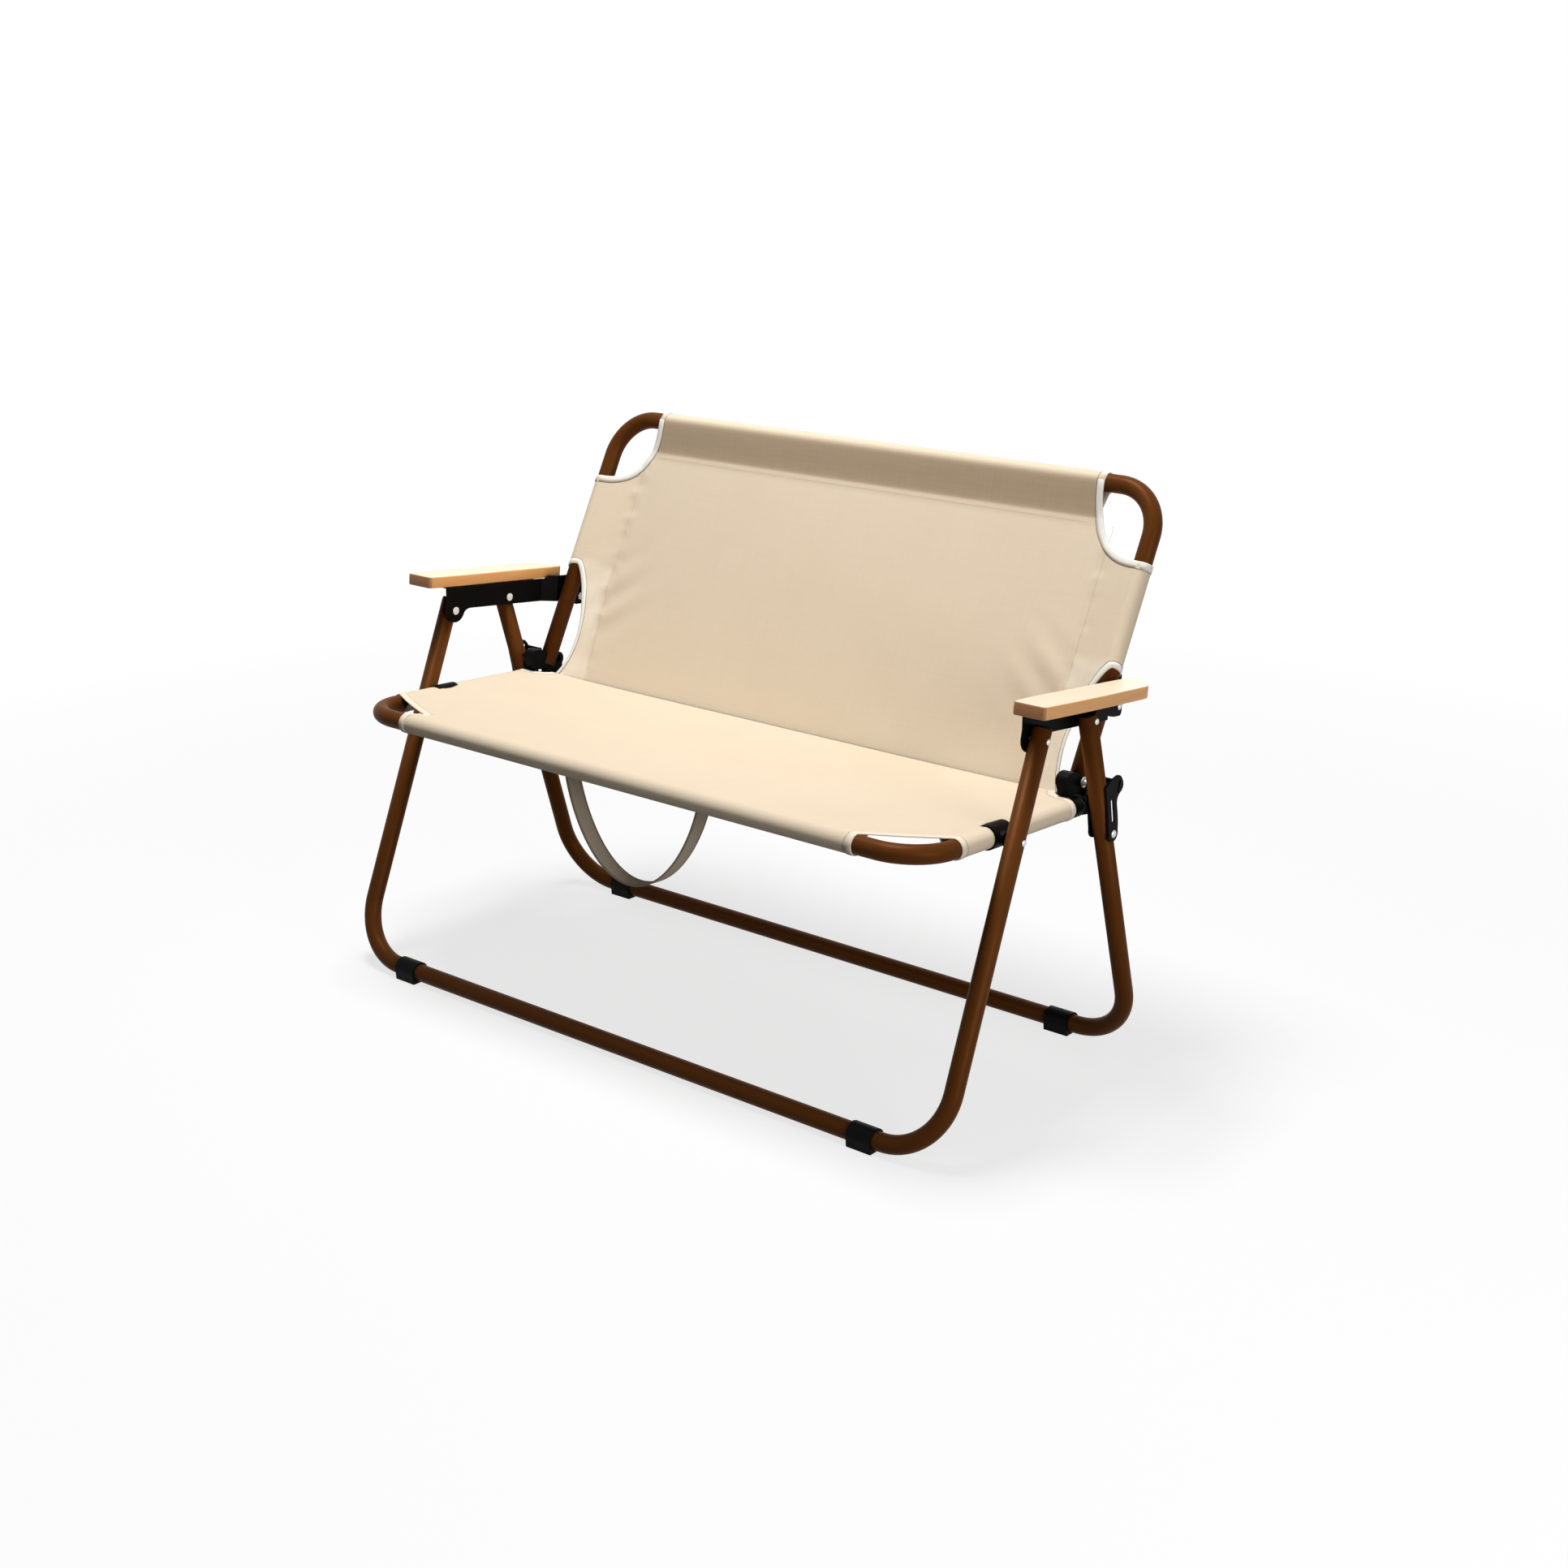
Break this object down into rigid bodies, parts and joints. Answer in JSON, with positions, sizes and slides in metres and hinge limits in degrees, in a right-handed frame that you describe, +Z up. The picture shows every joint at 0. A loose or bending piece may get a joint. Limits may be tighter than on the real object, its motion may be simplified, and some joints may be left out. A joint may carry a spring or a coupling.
{
  "type": "folding camping loveseat",
  "caption": "Low folding outdoor loveseat: bent tube leg frames, fabric seat and back slings, wooden armrests and latch levers; folds flat for carrying by a strap.",
  "frame": {"origin": "centre of the footprint on the floor, with the loveseat open", "axes": "+X across the seat towards the armrest at a sitter's left hand (the right-hand one in the picture), +Y from the front bar towards the back, +Z up"},
  "size_m": [1.0808, 0.5544, 0.7382],
  "materials": {
    "bronze_tube": "satin wood-tone bronze",
    "black_plastic": "moulded black",
    "black_metal": "black powder coat",
    "bright_steel": "bright",
    "armrest_wood": "clear satin lacquer on pale wood",
    "canvas": "beige canvas",
    "webbing": "beige woven webbing"
  },
  "bodies": {
    "front_frame": {"front_leg_frame": "bronze_tube", "front_leg_plug_left": "black_plastic", "front_leg_plug_right": "black_plastic", "front_foot_sleeve_left": "black_plastic", "front_foot_sleeve_right": "black_plastic"},
    "seat": {"seat_frame": "bronze_tube", "seat_collar_left": "black_plastic", "seat_collar_right": "black_plastic", "seat_pivot_rivet_left": "bright_steel", "seat_pivot_rivet_right": "bright_steel", "seat_end_fitting_left": "black_metal", "seat_end_fitting_right": "black_metal", "seat_hinge_rod": "black_metal", "seat_cloth": "canvas", "carry_strap": "webbing"},
    "back": {"back_frame": "bronze_tube", "back_hinge_casting_left": "black_metal", "back_hinge_casting_right": "black_metal", "latch_stud_left": "bright_steel", "latch_stud_right": "bright_steel", "back_saddle_left": "black_metal", "back_saddle_right": "black_metal", "armrest_rear_rivet_left": "bright_steel", "armrest_rear_rivet_right": "bright_steel", "back_cloth": "canvas"},
    "armrest_left": {"armrest_board_left": "armrest_wood", "armrest_bracket_left": "black_metal", "armrest_front_rivet_left": "bright_steel", "rear_leg_rivet_left": "bright_steel"},
    "armrest_right": {"armrest_board_right": "armrest_wood", "armrest_bracket_right": "black_metal", "armrest_front_rivet_right": "bright_steel", "rear_leg_rivet_right": "bright_steel"},
    "rear_frame": {"rear_leg_frame": "bronze_tube", "rear_leg_plug_left": "black_plastic", "rear_leg_plug_right": "black_plastic", "rear_foot_sleeve_left": "black_plastic", "rear_foot_sleeve_right": "black_plastic", "latch_axle_left": "bright_steel", "latch_axle_right": "bright_steel"},
    "latch_left": {"latch_lever_left": "black_metal"},
    "latch_right": {"latch_lever_right": "black_metal"}
  },
  "joints": [
    {"name": "seat_fold", "type": "hinge", "parent": "front_frame", "child": "seat", "pos_m": [0, -0.1156, 0.3725], "axis": [1, 0, 0], "range_deg": [0, 48]},
    {"name": "armrest_left_swing", "type": "hinge", "parent": "front_frame", "child": "armrest_left", "pos_m": [-0.506, -0.0695, 0.4845], "axis": [1, 0, 0], "range_deg": [0, 48]},
    {"name": "armrest_right_swing", "type": "hinge", "parent": "front_frame", "child": "armrest_right", "pos_m": [0.506, -0.0695, 0.4845], "axis": [1, 0, 0], "range_deg": [0, 48]},
    {"name": "back_fold", "type": "hinge", "parent": "seat", "child": "back", "pos_m": [0, 0.10499, 0.35901], "axis": [1, 0, 0], "range_deg": [-48, 0]},
    {"name": "rear_leg_fold", "type": "hinge", "parent": "armrest_left", "child": "rear_frame", "pos_m": [-0.505, 0.0368, 0.4852], "axis": [1, 0, 0], "range_deg": [-86.63, 0]},
    {"name": "latch_left_lift", "type": "hinge", "parent": "rear_frame", "child": "latch_left", "pos_m": [-0.506, 0.08178, 0.331], "axis": [-1, 0, 0], "range_deg": [0, 30]},
    {"name": "latch_right_lift", "type": "hinge", "parent": "rear_frame", "child": "latch_right", "pos_m": [0.506, 0.08178, 0.331], "axis": [-1, 0, 0], "range_deg": [0, 30]}
  ],
  "couplings": [
    {"joint": "armrest_left_swing", "follows": "seat_fold", "ratio": 1},
    {"joint": "armrest_right_swing", "follows": "seat_fold", "ratio": 1},
    {"joint": "back_fold", "follows": "seat_fold", "ratio": -1},
    {"joint": "rear_leg_fold", "follows": "seat_fold", "ratio": -1.8046}
  ]
}
